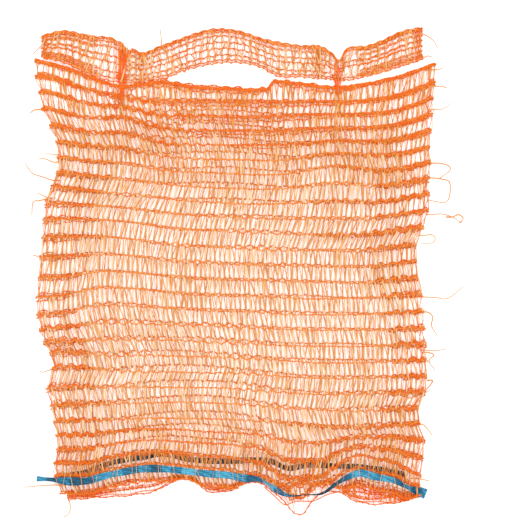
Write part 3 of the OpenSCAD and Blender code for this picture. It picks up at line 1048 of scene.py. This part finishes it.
def make_handle(sizes):
    plies = (("back", BACK_SHARES, 0), ("front", FRONT_SHARES, 1))
    for name, shares, ply in plies:
        rows = Yarns(101 + ply)
        webs = Yarns(103 + ply)
        fine = np.arange(STRIP_START, STRIP_END, 1.4)
        for share in shares:
            laid = fine[fine < 92] if share in SHORT_SHARES else fine
            rows.chain(lay_strip(share, laid, ply), sizes.stitch, sizes.loop, sizes.chain * 0.95, 0.4)
            doubled = (fine,) if share == 1.0 else (fine[fine < -128], fine[fine > 118])
            for stretch in doubled:
                other = lay_strip(share - 0.09 * (2 * share - 1), stretch, ply)
                rows.chain(other, sizes.stitch, sizes.loop, sizes.chain * 0.85, 0.4)
                zigzag(rows, lay_strip(share, stretch, ply), other, 0.6, 0.6, 0.8)
        steps = np.arange(STRIP_START + 1, STRIP_END - 1, sizes.stitch * 0.72)
        for low, high in zip(shares, shares[1:]):
            path, widths, shades, twist = webs.inlay(
                lay_strip(high, steps, ply), lay_strip(low, steps, ply), sizes.inlay * 0.9, 0.2, 1.5)
            webs.add(path, widths, FLAT_YARN, shades, twist)
        nodes = ("handle_" + name + "_rows",) + (("handle_fold_edge",) if ply else ())
        knitted = finished(rows, "handle_" + name + "_ply_rows", "chain_yarn", nodes)
        inlays = "handle_" + name + "_ply_inlays"
        laid_in = finished(webs, inlays, "inlay_yarn", ("handle_" + name + "_web",))
        hang_on_tacks(knitted)
        hang_on_tacks(laid_in)
    for side, s in (("left", STRIP_START + 2), ("right", STRIP_END - 2)):
        ends = Yarns(105)
        for inward in (0, 2.2):
            share = np.linspace(0, 1, 22)
            at = np.full(22, s + (inward if side == "left" else -inward)) + 0.7 * np.sin(share * 14)
            line = np.concatenate([lay_strip(f, at[i:i + 1], 1) for i, f in enumerate(share)])
            line[:, 2] = 2.4
            ends.chain(line, sizes.stitch, sizes.loop, sizes.chain, 0.3)
        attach(finished(ends, "handle_" + side + "_end_stitches", "chain_yarn",
                         ("handle_" + side + "_end_stitch",)), "handle")
    loose = Yarns(106)
    for points in STRIP_ENDS:
        loose.thread(points, 0.8, 0.1)
    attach(finished(loose, "handle_loose_yarn_ends", "inlay_yarn"), "handle")


def make_tacks(sizes):
    for side, tack, strands, broad, fall in (("left", TACKS[0], 22, 6, 14), ("right", TACKS[1], 8, 5, 6)):
        pleat = Yarns(111)
        bundle = Yarns(112)
        high = float(through(STRIP_FOLD, tack))
        for i in range(strands):
            x = tack + (i / (strands - 1) - 0.5) * broad
            lean = pleat.random.normal(0, 0.9)
            top = (x + lean, high - 1.5 - pleat.random.uniform(0, 6), 3.0)
            mid = (x - lean * 0.5, 158 + 2 * math.sin(i), 3.9)
            low = (x + lean * 0.6 - 1.2, 149.5, 3.3)
            pleat.thread((top, mid, low), pleat.random.uniform(0.5, 0.95), pleat.random.uniform(0, 0.45), 5)
        hang_on_tacks(finished(pleat, side + "_pleat_gathers", "chain_yarn", (side + "_pleat_stitch",)))
        for i in range(strands):
            x = tack + (i / (strands - 1) - 0.5) * broad
            lean = bundle.random.normal(0, 1.3)
            drop = bundle.random.uniform(2, fall)
            points = ((x + lean, 153.5, 2.6), (x, 147.5, 3.0), (x - lean, 142, 3.0),
                      (x - lean * 1.6 - 0.12 * drop, 142 - drop, 3.2))
            bundle.thread(points, bundle.random.uniform(0.45, 0.9), bundle.random.uniform(0, 0.4), 5)
        piece = finished(bundle, side + "_tack_stitches", "chain_yarn", (side + "_tack",))
        hang_on_tacks(piece)


# ---- Operators ----

# The stage, in metres and watts.
TABLE_WIDTH = 6.0
SOFTBOXES = ((-0.9, 0.8), (0.9, 0.8), (0.0, -1.1))
SOFTBOX_HEIGHT = 1.5
SOFTBOX_WIDTH = 1.2
SOFTBOX_POWER = 10
STUDIO_LIGHT = 0.68
LENS = 85                # millimetres
CAMERA_PLACE = (0.0246, -0.0023, 1.026)


class BAG_OT_stage(bpy.types.Operator):
    """Lays the white table top and sets the soft lights and the camera above it"""

    bl_idname = "bag.stage"
    bl_label = "Stage"

    def execute(self, context):
        scene = context.scene
        bpy.ops.object.select_all(action="DESELECT")
        bpy.ops.mesh.primitive_plane_add(size=TABLE_WIDTH, location=(0, 0, 0))
        floor = context.object
        floor.name = "table_top"
        floor.data.materials.append(table_top(scene.bag_colours))
        for x, y in SOFTBOXES:
            light = bpy.data.lights.new("softbox", "AREA")
            light.size = SOFTBOX_WIDTH
            light.energy = SOFTBOX_POWER
            lamp = bpy.data.objects.new("softbox", light)
            scene.collection.objects.link(lamp)
            lamp.location = (x, y, SOFTBOX_HEIGHT)
            lamp.rotation_euler = (-lamp.location).to_track_quat("-Z", "Y").to_euler()
        world = bpy.data.worlds.new("studio")
        world.use_nodes = True
        sky = world.node_tree.nodes["Background"]
        sky.inputs["Color"].default_value = linear("#FFFFFF")
        sky.inputs["Strength"].default_value = STUDIO_LIGHT
        scene.world = world
        lens = bpy.data.cameras.new("overhead")
        lens.lens = LENS
        camera = bpy.data.objects.new("overhead", lens)
        scene.collection.objects.link(camera)
        camera.location = CAMERA_PLACE
        scene.camera = camera
        scene.view_settings.view_transform = "Standard"
        return {"FINISHED"}


class BAG_OT_front_panel(bpy.types.Operator):
    """Knits the front panel, from the closed end to the mouth"""

    bl_idname = "bag.front_panel"
    bl_label = "Front Panel"

    def execute(self, context):
        make_front(in_millimetres(context))
        return {"FINISHED"}


class BAG_OT_back_panel(bpy.types.Operator):
    """Knits the back panel in three parts"""

    bl_idname = "bag.back_panel"
    bl_label = "Back Panel"

    def execute(self, context):
        make_back(in_millimetres(context))
        return {"FINISHED"}


class BAG_OT_closed_seam(bpy.types.Operator):
    """Chains the seam along the hand slot and doubles the rows below it"""

    bl_idname = "bag.closed_seam"
    bl_label = "Closed End Seam"

    def execute(self, context):
        make_closed_seam(in_millimetres(context))
        return {"FINISHED"}


class BAG_OT_side_seams(bpy.types.Operator):
    """Turns in and sews both sides"""

    bl_idname = "bag.side_seams"
    bl_label = "Side Seams"

    def execute(self, context):
        make_sides(in_millimetres(context))
        return {"FINISHED"}


class BAG_OT_loose_ends(bpy.types.Operator):
    """Pulls yarn ends out of the side seams"""

    bl_idname = "bag.loose_ends"
    bl_label = "Loose Ends"

    def execute(self, context):
        make_loose_ends(in_millimetres(context))
        return {"FINISHED"}


class BAG_OT_mouth(bpy.types.Operator):
    """Sews the mouth's selvages and their folds"""

    bl_idname = "bag.mouth"
    bl_label = "Mouth"

    def execute(self, context):
        make_mouth(in_millimetres(context))
        return {"FINISHED"}


class BAG_OT_draw_tapes(bpy.types.Operator):
    """Crumples both draw tapes along their casings"""

    bl_idname = "bag.draw_tapes"
    bl_label = "Draw Tapes"

    def execute(self, context):
        make_tapes(in_millimetres(context))
        return {"FINISHED"}


class BAG_OT_tape_loops(bpy.types.Operator):
    """Crosses the tapes with the yarns that hold them"""

    bl_idname = "bag.tape_loops"
    bl_label = "Tape Loops"

    def execute(self, context):
        make_tape_loops(in_millimetres(context))
        return {"FINISHED"}


class BAG_OT_handle(bpy.types.Operator):
    """Knits and folds the carry handle"""

    bl_idname = "bag.handle"
    bl_label = "Handle"

    def execute(self, context):
        make_handle(in_millimetres(context))
        return {"FINISHED"}


class BAG_OT_tacks(bpy.types.Operator):
    """Gathers the handle to the closed end"""

    bl_idname = "bag.tacks"
    bl_label = "Tacks"

    def execute(self, context):
        make_tacks(in_millimetres(context))
        return {"FINISHED"}


# In the order in which main calls them.
OPERATORS = (
    BAG_OT_stage,
    BAG_OT_front_panel,
    BAG_OT_back_panel,
    BAG_OT_closed_seam,
    BAG_OT_side_seams,
    BAG_OT_loose_ends,
    BAG_OT_mouth,
    BAG_OT_draw_tapes,
    BAG_OT_tape_loops,
    BAG_OT_handle,
    BAG_OT_tacks,
)


class BAG_PT_panel(bpy.types.Panel):
    """The bag's sizes, colours and operators in the 3D view's sidebar."""

    bl_label = "Produce Bag"
    bl_space_type = "VIEW_3D"
    bl_region_type = "UI"
    bl_category = "Produce Bag"

    def draw(self, context):
        for group in (context.scene.bag_sizes, context.scene.bag_colours):
            for key in type(group).__annotations__:
                self.layout.prop(group, key)
        for operator in OPERATORS:
            self.layout.operator(operator.bl_idname)


CLASSES = (BagSizes, BagColours) + OPERATORS + (BAG_PT_panel,)


def register():
    for kind in CLASSES:
        bpy.utils.register_class(kind)
    bpy.types.Scene.bag_sizes = bpy.props.PointerProperty(type=BagSizes)
    bpy.types.Scene.bag_colours = bpy.props.PointerProperty(type=BagColours)


def unregister():
    del bpy.types.Scene.bag_colours
    del bpy.types.Scene.bag_sizes
    for kind in reversed(CLASSES):
        bpy.utils.unregister_class(kind)


def main():
    register()
    for operator in OPERATORS:
        getattr(bpy.ops.bag, operator.bl_idname.split(".")[1])()


if __name__ == "__main__":
    main()
